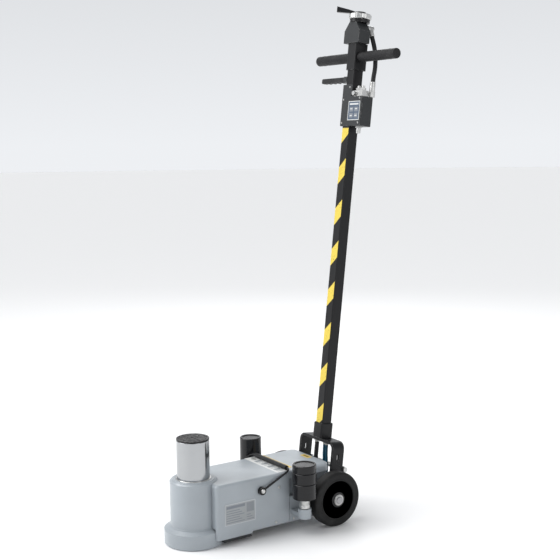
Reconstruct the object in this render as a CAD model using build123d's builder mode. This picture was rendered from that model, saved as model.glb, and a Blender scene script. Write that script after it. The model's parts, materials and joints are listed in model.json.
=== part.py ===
"""Air-hydraulic trolley jack with a two-stage ram, a folded housing, two wheels and a tilting handle.

Origin: centre of the foot's underside. +X right, +Y towards the wheels and the handle, +Z up.
"""

import os
from math import cos, radians, sin

from build123d import *

os.makedirs("parts", exist_ok=True)

# Foot, cylinder and ram
foot_radius = 77.0
foot_side_top = 38.7
foot_top = 46.7
foot_floor = 14.0
cylinder_radius = 61.0
cylinder_bore = 49.0
cylinder_floor = 12.0
cylinder_top = 165.5
gland_radius = 55.0
gland_depth = 25.5
gland_top = 167.5
wiper_radius = 45.5
wiper_height = 4.5
ram_radius = 42.0
ram_bore = 31.0
ram_top = 267.0
piston_height = 14.0
piston_bottom = 122.0
inner_ram_radius = 30.0
inner_ram_top = 267.5
inner_gland_radius = 37.0
inner_gland_height = 17.5
inner_piston_height = 12.0
saddle_thickness = 4.0
slide_clearance = 0.06
spigot_radius = 13.0
spigot_bore = 13.1
spigot_length = 35.0

# Housing
housing_half_width = 84.0
housing_front = 17.0
housing_step = 123.0
housing_shoulder = 238.0
housing_rear = 373.0
housing_top = 161.0
skirt_bottom = 18.5
side_bottom = 24.0
hood_bottom = 140.0
sheet = 3.0
corner_radius = 10.0
hood_corner_radius = 20.0
top_edge_radius = 8.0
base_plate_bottom = 9.0
base_plate_top = 18.0

# Rear frame, axle and wheels
frame_outer = 66.0
frame_sheet = 6.0
frame_ear_rear = 394.0
frame_ear_radius = 18.0
axle_y = 360.0
axle_z = 73.0
axle_radius = 10.0
axle_half_length = 143.0
wheel_radius = 73.0
wheel_width = 33.5
wheel_x = 118.4
rim_radius = 50.0
bush_radius = 12.4
hub_bore = 12.45
boss_radius = 20.0

# Handle: heights are measured along the leaning handle from its pivot
pivot_y = 394.0
pivot_z = 78.0
pivot_radius = 8.0
lean = 6.8
tube_width = 30.0
tube_depth = 32.0
tube_wall = 2.5
strap_width = 38.0
strap_thickness = 8.0
leg_outer = 76.6
yoke_top = 129.0
socket_top = 170.0
tube_top = 1202.0
t_bar_height = 1166.0
t_bar_radius = 11.0
grip_radius = 13.5
grip_end = 168.0
sleeve_bottom = 1131.0
sleeve_top = 1202.0
box_bottom = 980.0
box_top = 1059.0
box_right = 62.6
box_back = 18.6
trigger_height = 1106.0
trigger_front = 8.0
bracket_front = 24.0
bracket_top = 1258.0
valve_top = 1267.0
knob_radius = 30.0
knob_top = 1281.0

# Bail
bail_y = 150.0
bail_z = 126.0
bail_half_width = 90.4
bail_bar_y = 237.4
bail_bar_z = 167.5
bail_wire_radius = 2.75
bail_grip_radius = 6.0

# Adapters and their holders
adapter_x = 127.4
adapter_y = 256.0
adapter_radius = 31.0
adapter_bottom = 97.0
holder_floor = 60.0
holder_top = 70.0

# Hydraulic pump and air motor
motor_z = 84.0
motor_radius = 46.0
motor_front = 104.0
motor_rear = 214.0
plunger_radius = 8.0

handle_plane = Plane(
    origin=(0, pivot_y, pivot_z),
    x_dir=(1, 0, 0),
    z_dir=(0, sin(radians(lean)), cos(radians(lean))),
)
handle_side = Plane(origin=handle_plane.origin, x_dir=handle_plane.y_dir, z_dir=(1, 0, 0))
handle_front = Plane(origin=handle_plane.origin, x_dir=(1, 0, 0), z_dir=-handle_plane.y_dir)


def handle_point(x, back, height):
    """A point given across, behind and along the leaning handle."""
    return handle_plane.from_local_coords((x, back, height))


def radial_plane(x=0.0):
    """Plane through the wheel axle: first direction along the axle, second straight up."""
    return Plane(origin=(x, axle_y, axle_z), x_dir=(1, 0, 0), z_dir=(0, -1, 0))


def run_lengths(points):
    """Distance from each point of a route to the next."""
    return [(b - a).length for a, b in zip(points, points[1:])]


def hose_radii(points):
    """Largest bend radius that the two runs at each corner of a route allow."""
    runs = run_lengths(points)
    radii = []
    for before, corner, after, run_in, run_out in zip(points, points[1:], points[2:], runs, runs[1:]):
        turn = radians((corner - before).get_angle(after - corner))
        radii.append(0.45 * min(run_in, run_out) * cos(turn / 2) / sin(turn / 2))
    return radii


def hose_tube(route, radius):
    """Solid hose of straight runs joined by tangent arcs."""
    points = [Vector(*point) for point in route]
    radii = hose_radii(points)
    print("hose radii", [round(r) for r in radii], "diameter", 2 * radius)
    with BuildPart() as tube:
        with BuildLine() as line:
            FilletPolyline(*points, radius=radii)
        with BuildSketch(Plane(origin=points[0], z_dir=points[1] - points[0])):
            Circle(radius)
        sweep()
    print("hose length", round(line.wires()[0].length, 1), "volume ratio",
          round(tube.part.volume / (line.wires()[0].length * 3.14159 * radius**2), 4))
    return tube


# ---------------------------------------------------------------- foot, cylinder and ram

with BuildPart() as base_foot:
    with BuildSketch(Plane.XZ):
        with BuildLine():
            Polyline(
                (0, 0),
                (foot_radius - 3, 0),
                (foot_radius, 3),
                (foot_radius, foot_side_top),
                (cylinder_radius, foot_top),
                (cylinder_radius, foot_floor),
                (0, foot_floor),
                close=True,
            )
        make_face()
    revolve(axis=Axis.Z)
base_foot.part.label = "base_foot"
export_step(base_foot.part, "parts/base_foot.step")

with BuildPart() as cylinder_tube:
    with BuildSketch(Plane.XY.offset(foot_floor)):
        Circle(cylinder_radius)
    extrude(amount=cylinder_top - foot_floor)
    chamfer(cylinder_tube.edges().group_by(Axis.Z)[-1], 4)
    with BuildSketch(Plane.XY.offset(foot_floor + cylinder_floor)):
        Circle(cylinder_bore)
    extrude(amount=cylinder_top, mode=Mode.SUBTRACT)
    with BuildSketch(Plane.XY.offset(cylinder_top - gland_depth)):
        Circle(gland_radius)
    extrude(amount=gland_depth, mode=Mode.SUBTRACT)
cylinder_tube.part.label = "cylinder_tube"
export_step(cylinder_tube.part, "parts/cylinder_tube.step")

with BuildPart() as gland_nut:
    with BuildSketch(Plane.XY.offset(cylinder_top - gland_depth)):
        Circle(gland_radius)
        Circle(ram_radius + slide_clearance, mode=Mode.SUBTRACT)
    extrude(amount=gland_top - cylinder_top + gland_depth)
    with BuildSketch(Plane.XY.offset(gland_top - wiper_height)):
        Circle(wiper_radius)
    extrude(amount=wiper_height, mode=Mode.SUBTRACT)
    chamfer(gland_nut.edges().group_by(Axis.Z)[-1].sort_by(SortBy.LENGTH)[-1], 1.2)
gland_nut.part.label = "gland_nut"
export_step(gland_nut.part, "parts/gland_nut.step")

with BuildPart() as gland_ring:
    with BuildSketch(Plane.XY.offset(gland_top - wiper_height)):
        Circle(wiper_radius)
        Circle(ram_radius + slide_clearance, mode=Mode.SUBTRACT)
    extrude(amount=wiper_height + 1.0)
    chamfer(gland_ring.edges().group_by(Axis.Z)[-1].sort_by(SortBy.LENGTH)[-1], 0.9)
gland_ring.part.label = "gland_ring"
export_step(gland_ring.part, "parts/gland_ring.step")

with BuildPart() as ram_outer:
    with BuildSketch(Plane.XY.offset(piston_bottom + piston_height)):
        Circle(ram_radius)
        Circle(ram_bore, mode=Mode.SUBTRACT)
    extrude(amount=ram_top - piston_bottom - piston_height)
    with BuildSketch(Plane.XY.offset(ram_top - inner_gland_height)):
        Circle(inner_gland_radius)
    extrude(amount=inner_gland_height, mode=Mode.SUBTRACT)
    chamfer(ram_outer.edges().group_by(Axis.Z)[-1].sort_by(SortBy.LENGTH)[-1], 1.0)
ram_outer.part.label = "ram_outer"
export_step(ram_outer.part, "parts/ram_outer.step")

with BuildPart() as ram_gland:
    with BuildSketch(Plane.XY.offset(ram_top - inner_gland_height)):
        Circle(inner_gland_radius)
        Circle(inner_ram_radius + slide_clearance, mode=Mode.SUBTRACT)
    extrude(amount=inner_gland_height)
ram_gland.part.label = "ram_gland"
export_step(ram_gland.part, "parts/ram_gland.step")

seal_height = 6.0
seal_depth = 4.0
seal_bottom = piston_bottom + 4.0

with BuildPart() as outer_piston:
    with BuildSketch(Plane.XY.offset(piston_bottom)):
        Circle(cylinder_bore - slide_clearance)
        Circle(20, mode=Mode.SUBTRACT)
    extrude(amount=piston_height)
    with BuildSketch(Plane.XY.offset(seal_bottom)):
        Circle(cylinder_bore)
        Circle(cylinder_bore - seal_depth, mode=Mode.SUBTRACT)
    extrude(amount=seal_height, mode=Mode.SUBTRACT)
outer_piston.part.label = "outer_piston"
export_step(outer_piston.part, "parts/outer_piston.step")

with BuildPart() as outer_piston_seal:
    with BuildSketch(Plane.XY.offset(seal_bottom)):
        Circle(cylinder_bore - 0.03)
        Circle(cylinder_bore - seal_depth, mode=Mode.SUBTRACT)
    extrude(amount=seal_height)
outer_piston_seal.part.label = "outer_piston_seal"
export_step(outer_piston_seal.part, "parts/outer_piston_seal.step")

inner_piston_bottom = piston_bottom + piston_height

with BuildPart() as inner_piston:
    with BuildSketch(Plane.XY.offset(inner_piston_bottom)):
        Circle(ram_bore - slide_clearance)
    extrude(amount=inner_piston_height)
inner_piston.part.label = "inner_piston"
export_step(inner_piston.part, "parts/inner_piston.step")

with BuildPart() as ram_inner:
    with BuildSketch(Plane.XY.offset(inner_piston_bottom + inner_piston_height)):
        Circle(inner_ram_radius)
    extrude(amount=inner_ram_top - inner_piston_bottom - inner_piston_height)
    with BuildSketch(Plane.XY.offset(inner_ram_top)):
        Circle(spigot_bore)
    extrude(amount=-spigot_length - 3, mode=Mode.SUBTRACT)
ram_inner.part.label = "ram_inner"
export_step(ram_inner.part, "parts/ram_inner.step")

saddle_groove_pitch = 11.0
saddle_groove_width = 2.2
saddle_rim = 4.0

with BuildPart() as saddle:
    with BuildSketch(Plane.XY.offset(inner_ram_top)):
        Circle(ram_radius)
    extrude(amount=saddle_thickness)
    chamfer(saddle.edges().group_by(Axis.Z)[-1], 0.8)
    with BuildSketch(Plane.XY.offset(inner_ram_top)):
        Circle(spigot_radius)
    extrude(amount=-spigot_length)
    with BuildSketch(Plane.XY.offset(inner_ram_top + saddle_thickness)):
        with GridLocations(saddle_groove_pitch, 0, 7, 1):
            Rectangle(saddle_groove_width, 2 * ram_radius)
        with GridLocations(0, saddle_groove_pitch, 1, 7):
            Rectangle(2 * ram_radius, saddle_groove_width)
        Circle(ram_radius - saddle_rim, mode=Mode.INTERSECT)
    extrude(amount=-1.2, mode=Mode.SUBTRACT)
saddle.part.label = "saddle"
export_step(saddle.part, "parts/saddle.step")

# ---------------------------------------------------------------- housing and frame

filler_x = -59.0
filler_y = 221.0
filler_radius = 7.0
filler_shank = 5.0

with BuildPart() as housing_shell:
    with BuildSketch(Plane.XY.offset(skirt_bottom)):
        with Locations((0, (housing_front + housing_step) / 2)):
            Rectangle(2 * housing_half_width, housing_step - housing_front)
    extrude(amount=housing_top - skirt_bottom)
    with BuildSketch(Plane.XY.offset(side_bottom)):
        with Locations((0, (housing_step + housing_shoulder) / 2)):
            Rectangle(2 * housing_half_width, housing_shoulder - housing_step)
    extrude(amount=housing_top - side_bottom)
    with BuildSketch(Plane.XY.offset(hood_bottom)):
        with Locations((0, (housing_shoulder + housing_rear) / 2)):
            Rectangle(2 * housing_half_width, housing_rear - housing_shoulder)
    extrude(amount=housing_top - hood_bottom)
    fillet(housing_shell.edges().filter_by(Axis.Z).group_by(Axis.Y)[0], corner_radius)
    fillet(housing_shell.edges().filter_by(Axis.Z).group_by(Axis.Y)[-1], hood_corner_radius)
    fillet(housing_shell.faces().sort_by(Axis.Z)[-1].outer_wire().edges(), top_edge_radius)
    with BuildSketch(Plane.XY.offset(skirt_bottom)):
        with Locations((0, (housing_front + housing_shoulder) / 2)):
            RectangleRounded(
                2 * (housing_half_width - sheet), housing_shoulder - housing_front - 2 * sheet, corner_radius - sheet
            )
    extrude(amount=housing_top - sheet - skirt_bottom, mode=Mode.SUBTRACT)
    with BuildSketch(Plane.XY.offset(hood_bottom)):
        with Locations((0, (housing_shoulder + housing_rear) / 2 - 2 * sheet)):
            RectangleRounded(
                2 * (housing_half_width - sheet),
                housing_rear - housing_shoulder + 2 * sheet,
                hood_corner_radius - sheet,
            )
    extrude(amount=housing_top - sheet - hood_bottom, mode=Mode.SUBTRACT)
    with BuildSketch(Plane.XY.offset(side_bottom)):
        with Locations((0, housing_shoulder - 2)):
            Rectangle(2 * (frame_outer - sheet), 10)
    extrude(amount=hood_bottom - side_bottom, mode=Mode.SUBTRACT)
    with BuildSketch(Plane.XY):
        Circle(cylinder_radius + 0.1)
    extrude(amount=housing_top + 1, mode=Mode.SUBTRACT)
    with BuildSketch(Plane.XY):
        Circle(foot_radius + 0.3)
    extrude(amount=foot_top + 0.3, mode=Mode.SUBTRACT)
    with BuildSketch(Plane.YZ):
        with Locations((bail_y, bail_z)):
            Circle(4)
    extrude(amount=housing_half_width + 1, both=True, mode=Mode.SUBTRACT)
    with BuildSketch(Plane.XY.offset(housing_top)):
        with Locations((filler_x, filler_y)):
            Circle(filler_shank)
    extrude(amount=-2 * sheet, mode=Mode.SUBTRACT)
housing_shell.part.label = "housing_shell"
export_step(housing_shell.part, "parts/housing_shell.step")

tank_top = 150.0
tank_bottom = 32.0
tank_front = 217.0
tank_neck = 234.0
tank_rear = 340.0

with BuildPart() as oil_reservoir:
    with BuildSketch(Plane.XY.offset(tank_bottom)):
        with Locations((0, (tank_front + tank_neck) / 2)):
            Rectangle(2 * 76, tank_neck - tank_front)
        with Locations((0, (tank_front + tank_rear) / 2)):
            Rectangle(2 * 57, tank_rear - tank_front)
    extrude(amount=tank_top - tank_bottom)
    with BuildSketch(Plane.XY.offset(tank_bottom + sheet)):
        with Locations((0, (tank_front + tank_neck) / 2)):
            Rectangle(2 * 73, tank_neck - tank_front - 2 * sheet)
        with Locations((0, (tank_front + tank_rear) / 2)):
            Rectangle(2 * 54, tank_rear - tank_front - 2 * sheet)
    extrude(amount=tank_top, mode=Mode.SUBTRACT)
oil_reservoir.part.label = "oil_reservoir"
export_step(oil_reservoir.part, "parts/oil_reservoir.step")

with BuildPart() as filler_plug:
    with BuildSketch(Plane.XY.offset(housing_top)):
        with Locations((filler_x, filler_y)):
            RegularPolygon(filler_radius, 6)
    extrude(amount=4)
    with BuildSketch(Plane.XY.offset(housing_top)):
        with Locations((filler_x, filler_y)):
            Circle(filler_shank)
    extrude(amount=-9)
filler_plug.part.label = "filler_plug"
export_step(filler_plug.part, "parts/filler_plug.step")

with BuildPart() as base_plate:
    with BuildSketch(Plane.XY.offset(base_plate_bottom)):
        with Locations((0, (40 + housing_step) / 2)):
            Rectangle(2 * 80, housing_step - 40)
        Circle(foot_radius + 0.2, mode=Mode.SUBTRACT)
    extrude(amount=base_plate_top - base_plate_bottom)
base_plate.part.label = "base_plate"
export_step(base_plate.part, "parts/base_plate.step")

with BuildPart() as rear_frame:
    with BuildSketch(Plane.YZ):
        with Locations(((housing_shoulder + housing_rear) / 2, (side_bottom + hood_bottom) / 2)):
            Rectangle(housing_rear - housing_shoulder, hood_bottom - side_bottom)
        with Locations((frame_ear_rear, pivot_z)):
            Circle(frame_ear_radius)
        with Locations(((housing_rear + frame_ear_rear) / 2 - 5, pivot_z)):
            Rectangle(frame_ear_rear - housing_rear + 10, 2 * frame_ear_radius)
    extrude(amount=frame_outer, both=True)
    with BuildSketch(Plane.YZ):
        with Locations(((housing_shoulder + housing_rear) / 2 - sheet, (side_bottom + hood_bottom) / 2 + 4)):
            Rectangle(housing_rear - housing_shoulder - 2, hood_bottom - side_bottom)
        with Locations((housing_rear + 30, pivot_z)):
            Rectangle(60, 3 * frame_ear_radius)
    extrude(amount=frame_outer - frame_sheet, both=True, mode=Mode.SUBTRACT)
    with BuildSketch(Plane.YZ):
        with Locations((axle_y, axle_z)):
            Circle(axle_radius)
        with Locations((pivot_y, pivot_z)):
            Circle(pivot_radius)
    extrude(amount=frame_outer + 1, both=True, mode=Mode.SUBTRACT)
rear_frame.part.label = "rear_frame"
export_step(rear_frame.part, "parts/rear_frame.step")

plate_thickness = 0.8

with BuildPart() as data_plate:
    with BuildSketch(Plane.YZ.offset(housing_half_width)):
        with Locations((86, 80.5)):
            RectangleRounded(92, 55, 2)
    extrude(amount=plate_thickness)
data_plate.part.label = "data_plate"
export_step(data_plate.part, "parts/data_plate.step")

screw_places = [(195, 32), (206, 124), (251, 31)]

with BuildPart() as housing_screws:
    for side in (1, -1):
        with BuildSketch(Plane.YZ.offset(side * housing_half_width)):
            with Locations(*screw_places):
                Circle(3.4)
        extrude(amount=side * 1.8)
housing_screws.part.label = "housing_screws"
export_step(housing_screws.part, "parts/housing_screws.step")


holder_bottom = 44.0
side_plate_top = 92.0
side_plate_rear = 316.0

with BuildPart() as right_holder:
    with BuildSketch(Plane.XY.offset(holder_bottom)):
        with Locations((adapter_x, adapter_y)):
            Circle(17.4)
    extrude(amount=holder_top - holder_bottom)
    with BuildSketch(Plane.XY.offset(holder_bottom + 1)):
        with Locations(((frame_outer + adapter_x) / 2, adapter_y)):
            Rectangle(adapter_x - frame_outer, 26)
    extrude(amount=12)
    with BuildSketch(Plane.YZ.offset(housing_half_width - 6)):
        with Locations(((housing_shoulder + 1 + side_plate_rear) / 2, (side_bottom + side_plate_top) / 2)):
            Rectangle(side_plate_rear - housing_shoulder - 1, side_plate_top - side_bottom)
    extrude(amount=6)
    with BuildSketch(Plane.YZ.offset(frame_outer)):
        with Locations(((housing_shoulder + 1 + side_plate_rear) / 2, side_bottom + 4)):
            Rectangle(side_plate_rear - housing_shoulder - 1, 8)
    extrude(amount=housing_half_width - frame_outer - 3)
    with BuildSketch(Plane.XY.offset(holder_floor)):
        with Locations((adapter_x, adapter_y)):
            Circle(spigot_radius + 0.2)
    extrude(amount=holder_top, mode=Mode.SUBTRACT)

left_holder = mirror(right_holder.part, about=Plane.YZ)
adapter_holders = Compound(label="adapter_holders", children=[right_holder.part.solid(), left_holder.solid()])
export_step(adapter_holders, "parts/adapter_holders.step")

# ---------------------------------------------------------------- adapters


def adapter(x, bottom, height, radius, spigot, bore):
    """Extension piece with a spigot below and a bore or a shallow recess above."""
    with BuildPart() as piece:
        with BuildSketch(Plane.XY.offset(bottom)):
            with Locations((x, adapter_y)):
                Circle(radius)
        extrude(amount=height)
        chamfer(piece.edges().group_by(Axis.Z)[-1], 1.6)
        chamfer(piece.edges().group_by(Axis.Z)[0], 1.2)
        with BuildSketch(Plane.XY.offset(bottom)):
            with Locations((x, adapter_y)):
                Circle(spigot_radius)
        extrude(amount=-spigot)
        chamfer(piece.edges().group_by(Axis.Z)[0], 1.0)
        with BuildSketch(Plane.XY.offset(bottom + height)):
            with Locations((x, adapter_y)):
                Circle(spigot_bore if bore > 3 else radius - 6)
        extrude(amount=-bore, mode=Mode.SUBTRACT)
    return piece


low_height = 41.0
mid_height = 29.0
top_height = 21.0
mid_bottom = adapter_bottom + low_height
top_bottom = mid_bottom + mid_height
left_height = 106.5
left_radius = 29.5
holder_spigot = adapter_bottom - holder_floor - 0.3

adapter_right_low = adapter(adapter_x, adapter_bottom, low_height, adapter_radius, holder_spigot, 36)
adapter_right_low.part.label = "adapter_right_low"
export_step(adapter_right_low.part, "parts/adapter_right_low.step")

adapter_right_mid = adapter(adapter_x, mid_bottom, mid_height, adapter_radius, 33, 24)
adapter_right_mid.part.label = "adapter_right_mid"
export_step(adapter_right_mid.part, "parts/adapter_right_mid.step")

adapter_right_top = adapter(adapter_x, top_bottom, top_height, adapter_radius, 22, 2)
adapter_right_top.part.label = "adapter_right_top"
export_step(adapter_right_top.part, "parts/adapter_right_top.step")

adapter_left = adapter(-adapter_x, adapter_bottom, left_height, left_radius, holder_spigot, 2)
adapter_left.part.label = "adapter_left"
export_step(adapter_left.part, "parts/adapter_left.step")

# ---------------------------------------------------------------- axle and wheels

axle_axis = Axis((0, axle_y, axle_z), (1, 0, 0))
washer_radius = 14.5
washer_inner_x = 98.5
washer_outer_x = 136.6
washer_thickness = 1.9
circlip_x = 138.7
circlip_thickness = 1.5

with BuildPart() as axle_shaft:
    with BuildSketch(Plane.YZ.offset(-axle_half_length)):
        with Locations((axle_y, axle_z)):
            Circle(axle_radius)
    extrude(amount=2 * axle_half_length)
    chamfer(axle_shaft.edges(), 1.5)
    for side in (1, -1):
        with BuildSketch(Plane.YZ.offset(side * circlip_x)):
            with Locations((axle_y, axle_z)):
                Circle(axle_radius + 1)
                Circle(axle_radius - 1.5, mode=Mode.SUBTRACT)
        extrude(amount=side * circlip_thickness, mode=Mode.SUBTRACT)
axle_shaft.part.label = "axle_shaft"
export_step(axle_shaft.part, "parts/axle_shaft.step")

with BuildPart() as axle_bushes:
    for side in (1, -1):
        with BuildSketch(Plane.YZ.offset(side * frame_outer)):
            with Locations((axle_y, axle_z)):
                Circle(axle_radius + 3)
                Circle(axle_radius, mode=Mode.SUBTRACT)
        extrude(amount=side * (washer_inner_x - frame_outer))
        with BuildSketch(Plane.YZ.offset(side * (washer_inner_x + washer_thickness))):
            with Locations((axle_y, axle_z)):
                Circle(bush_radius)
                Circle(axle_radius, mode=Mode.SUBTRACT)
        extrude(amount=side * (washer_outer_x - washer_inner_x - washer_thickness))
axle_bushes.part.label = "axle_bushes"
export_step(axle_bushes.part, "parts/axle_bushes.step")

with BuildPart() as axle_retainers:
    for side in (1, -1):
        for start in (washer_inner_x, washer_outer_x):
            with BuildSketch(Plane.YZ.offset(side * start)):
                with Locations((axle_y, axle_z)):
                    Circle(washer_radius)
                    Circle(axle_radius, mode=Mode.SUBTRACT)
            extrude(amount=side * washer_thickness)
        with BuildSketch(Plane.YZ.offset(side * circlip_x)):
            with Locations((axle_y, axle_z)):
                Circle(axle_radius + 2.5)
                Circle(axle_radius - 1.5, mode=Mode.SUBTRACT)
            with Locations((axle_y + 3, axle_z - 9)):
                Rectangle(7, 12, rotation=20, mode=Mode.SUBTRACT)
        extrude(amount=side * circlip_thickness)
axle_retainers.part.label = "axle_retainers"
export_step(axle_retainers.part, "parts/axle_retainers.step")


def wheel_tyre(x):
    """Solid rubber tyre with rounded shoulders."""
    with BuildPart() as tyre:
        with BuildSketch(radial_plane(x)) as section:
            with Locations((0, (rim_radius + wheel_radius) / 2)):
                Rectangle(wheel_width, wheel_radius - rim_radius)
            fillet(section.vertices().group_by(Axis.Y)[-1], 8)
            fillet(section.vertices().group_by(Axis.Y)[0], 2)
        revolve(axis=Axis((x, axle_y, axle_z), (1, 0, 0)))
    return tyre


def wheel_hub(x):
    """Moulded hub: rim, web, boss and ribs, turning on the axle bush."""
    web = 6.0
    with BuildPart() as hub:
        with BuildSketch(radial_plane(x)):
            with Locations((0, rim_radius - 3)):
                Rectangle(wheel_width - 4, 6)
            with Locations((0, (boss_radius + rim_radius) / 2 - 3)):
                Rectangle(web, rim_radius - boss_radius)
            with Locations((0, (hub_bore + boss_radius) / 2)):
                Rectangle(wheel_width + 1, boss_radius - hub_bore)
        revolve(axis=Axis((x, axle_y, axle_z), (1, 0, 0)))
        with BuildSketch(Plane.YZ.offset(x - 11)):
            with Locations((axle_y, axle_z)):
                with PolarLocations((boss_radius + rim_radius) / 2 - 3, 6):
                    Rectangle(rim_radius - boss_radius - 4, 5)
        extrude(amount=22)
    return hub


tyre_right = wheel_tyre(wheel_x)
tyre_right.part.label = "tyre_right"
export_step(tyre_right.part, "parts/tyre_right.step")
hub_right = wheel_hub(wheel_x)
hub_right.part.label = "hub_right"
export_step(hub_right.part, "parts/hub_right.step")
tyre_left = wheel_tyre(-wheel_x)
tyre_left.part.label = "tyre_left"
export_step(tyre_left.part, "parts/tyre_left.step")
hub_left = wheel_hub(-wheel_x)
hub_left.part.label = "hub_left"
export_step(hub_left.part, "parts/hub_left.step")

# ---------------------------------------------------------------- bail

with BuildPart() as bail_wire:
    with BuildLine():
        FilletPolyline(
            (bail_half_width, bail_y, bail_z),
            (bail_half_width, bail_bar_y, bail_bar_z),
            (-bail_half_width, bail_bar_y, bail_bar_z),
            (-bail_half_width, bail_y, bail_z),
            radius=14,
        )
    with BuildSketch(
        Plane(origin=(bail_half_width, bail_y, bail_z), z_dir=(0, bail_bar_y - bail_y, bail_bar_z - bail_z))
    ):
        Circle(bail_wire_radius)
    sweep()
    for side in (1, -1):
        with BuildSketch(Plane.YZ.offset(side * (housing_half_width + 0.4))):
            with Locations((bail_y, bail_z)):
                Circle(10.5)
        extrude(amount=side * 8.8)
        with BuildSketch(Plane.YZ.offset(side * (housing_half_width - 1))):
            with Locations((bail_y, bail_z)):
                Circle(4.08)
        extrude(amount=side * 12, mode=Mode.SUBTRACT)
bail_wire.part.label = "bail_wire"
export_step(bail_wire.part, "parts/bail_wire.step")

with BuildPart() as bail_grip:
    with BuildSketch(Plane.YZ.offset(-74)):
        with Locations((bail_bar_y, bail_bar_z)):
            Circle(bail_grip_radius)
            Circle(bail_wire_radius + 0.03, mode=Mode.SUBTRACT)
    extrude(amount=148)
bail_grip.part.label = "bail_grip"
export_step(bail_grip.part, "parts/bail_grip.step")

with BuildPart() as bail_screws:
    for side in (1, -1):
        with BuildSketch(Plane.YZ.offset(side * (housing_half_width - 6))):
            with Locations((bail_y, bail_z)):
                Circle(4)
        extrude(amount=side * 15.4)
        with BuildSketch(Plane.YZ.offset(side * (housing_half_width + 9.4))):
            with Locations((bail_y, bail_z)):
                Circle(6)
        extrude(amount=side * 3, taper=18)
bail_screws.part.label = "bail_screws"
export_step(bail_screws.part, "parts/bail_screws.step")

# ---------------------------------------------------------------- pump and air motor

with BuildPart() as pump_block:
    with BuildSketch(Plane.XY.offset(foot_top + 1.3)):
        with Locations((0, (48 + motor_front) / 2)):
            Rectangle(92, motor_front - 48)
        Circle(cylinder_radius, mode=Mode.SUBTRACT)
    extrude(amount=72)
    with BuildSketch(Plane.XZ.offset(-motor_front)):
        with Locations((0, motor_z)):
            Circle(plunger_radius + slide_clearance)
    extrude(amount=motor_front - cylinder_radius - 2, mode=Mode.SUBTRACT)
pump_block.part.label = "pump_block"
export_step(pump_block.part, "parts/pump_block.step")

with BuildPart() as air_motor:
    with BuildSketch(Plane.XZ.offset(-motor_front)):
        with Locations((0, motor_z)):
            Circle(motor_radius)
    extrude(amount=-(motor_rear - motor_front))
    with BuildSketch(Plane.XZ.offset(-motor_front - 4)):
        with Locations((0, motor_z)):
            Circle(motor_radius - 4)
    extrude(amount=-(motor_rear - motor_front - 8), mode=Mode.SUBTRACT)
    with BuildSketch(Plane.XZ.offset(-motor_front)):
        with Locations((0, motor_z)):
            Circle(plunger_radius + slide_clearance)
    extrude(amount=-5, mode=Mode.SUBTRACT)
    with BuildSketch(Plane.XZ.offset(-motor_rear)):
        with Locations((0, motor_z)):
            Circle(6)
    extrude(amount=5, mode=Mode.SUBTRACT)
air_motor.part.label = "air_motor"
export_step(air_motor.part, "parts/air_motor.step")

piston_rear = motor_rear - 8.0

with BuildPart() as air_piston:
    with BuildSketch(Plane.XZ.offset(-piston_rear)):
        with Locations((0, motor_z)):
            Circle(motor_radius - 4 - slide_clearance)
    extrude(amount=10)
    with BuildSketch(Plane.XZ.offset(-piston_rear)):
        with Locations((0, motor_z)):
            Circle(plunger_radius)
    extrude(amount=piston_rear - motor_front - 2)
air_piston.part.label = "air_piston"
export_step(air_piston.part, "parts/air_piston.step")

spring_radius = 14.0
spring_wire = 1.5
spring_start = motor_front + 6.0
spring_height = piston_rear - 10 - spring_start - 2

with BuildPart() as return_spring:
    with BuildLine() as coil:
        Helix(
            pitch=spring_height / 8,
            height=spring_height,
            radius=spring_radius,
            center=(0, spring_start, motor_z),
            direction=(0, 1, 0),
        )
    with BuildSketch(Plane(origin=coil.line @ 0, z_dir=coil.line % 0)):
        Circle(spring_wire)
    sweep(is_frenet=True)
return_spring.part.label = "return_spring"
export_step(return_spring.part, "parts/return_spring.step")

# ---------------------------------------------------------------- handle

tie_bar_back = 26.0
tie_bar_height = 54.0
tie_bar_radius = 7.0

with BuildPart() as yoke:
    with BuildSketch(handle_front) as outline:
        with Locations((0, (yoke_top - strap_width / 2) / 2)):
            Rectangle(2 * leg_outer, yoke_top + strap_width / 2)
        fillet(outline.vertices().group_by(Axis.Y)[-1], 20)
    extrude(amount=strap_width / 2, both=True)
    with BuildSketch(handle_front) as gap:
        with Locations((0, (yoke_top - strap_thickness - strap_width / 2 - 4) / 2)):
            Rectangle(2 * (leg_outer - strap_thickness), yoke_top - strap_thickness + strap_width / 2 + 4)
        fillet(gap.vertices().group_by(Axis.Y)[-1], 12)
    extrude(amount=strap_width, both=True, mode=Mode.SUBTRACT)
    with BuildSketch(handle_side):
        Circle(strap_width / 2)
        with Locations((0, yoke_top / 2)):
            Rectangle(strap_width, yoke_top)
    extrude(amount=2 * leg_outer, both=True, mode=Mode.INTERSECT)
    for side in (1, -1):
        with BuildSketch(handle_side.offset(side * (leg_outer - strap_thickness))):
            with Locations((tie_bar_back - 4, tie_bar_height)):
                Rectangle(10, 16)
        extrude(amount=side * strap_thickness)
    with BuildSketch(handle_side):
        Circle(pivot_radius + slide_clearance)
        with Locations((0, 88)):
            SlotOverall(18, 6.5, rotation=90)
        with Locations((tie_bar_back, tie_bar_height)):
            Circle(tie_bar_radius)
    extrude(amount=2 * leg_outer, both=True, mode=Mode.SUBTRACT)
yoke.part.label = "yoke"
export_step(yoke.part, "parts/yoke.step")

with BuildPart() as yoke_tie_bar:
    with BuildSketch(handle_side):
        with Locations((tie_bar_back, tie_bar_height)):
            Circle(tie_bar_radius)
    extrude(amount=leg_outer + 5, both=True)
    chamfer(yoke_tie_bar.edges(), 1)
yoke_tie_bar.part.label = "yoke_tie_bar"
export_step(yoke_tie_bar.part, "parts/yoke_tie_bar.step")

bolt_start = frame_outer - frame_sheet - 9.0

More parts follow.
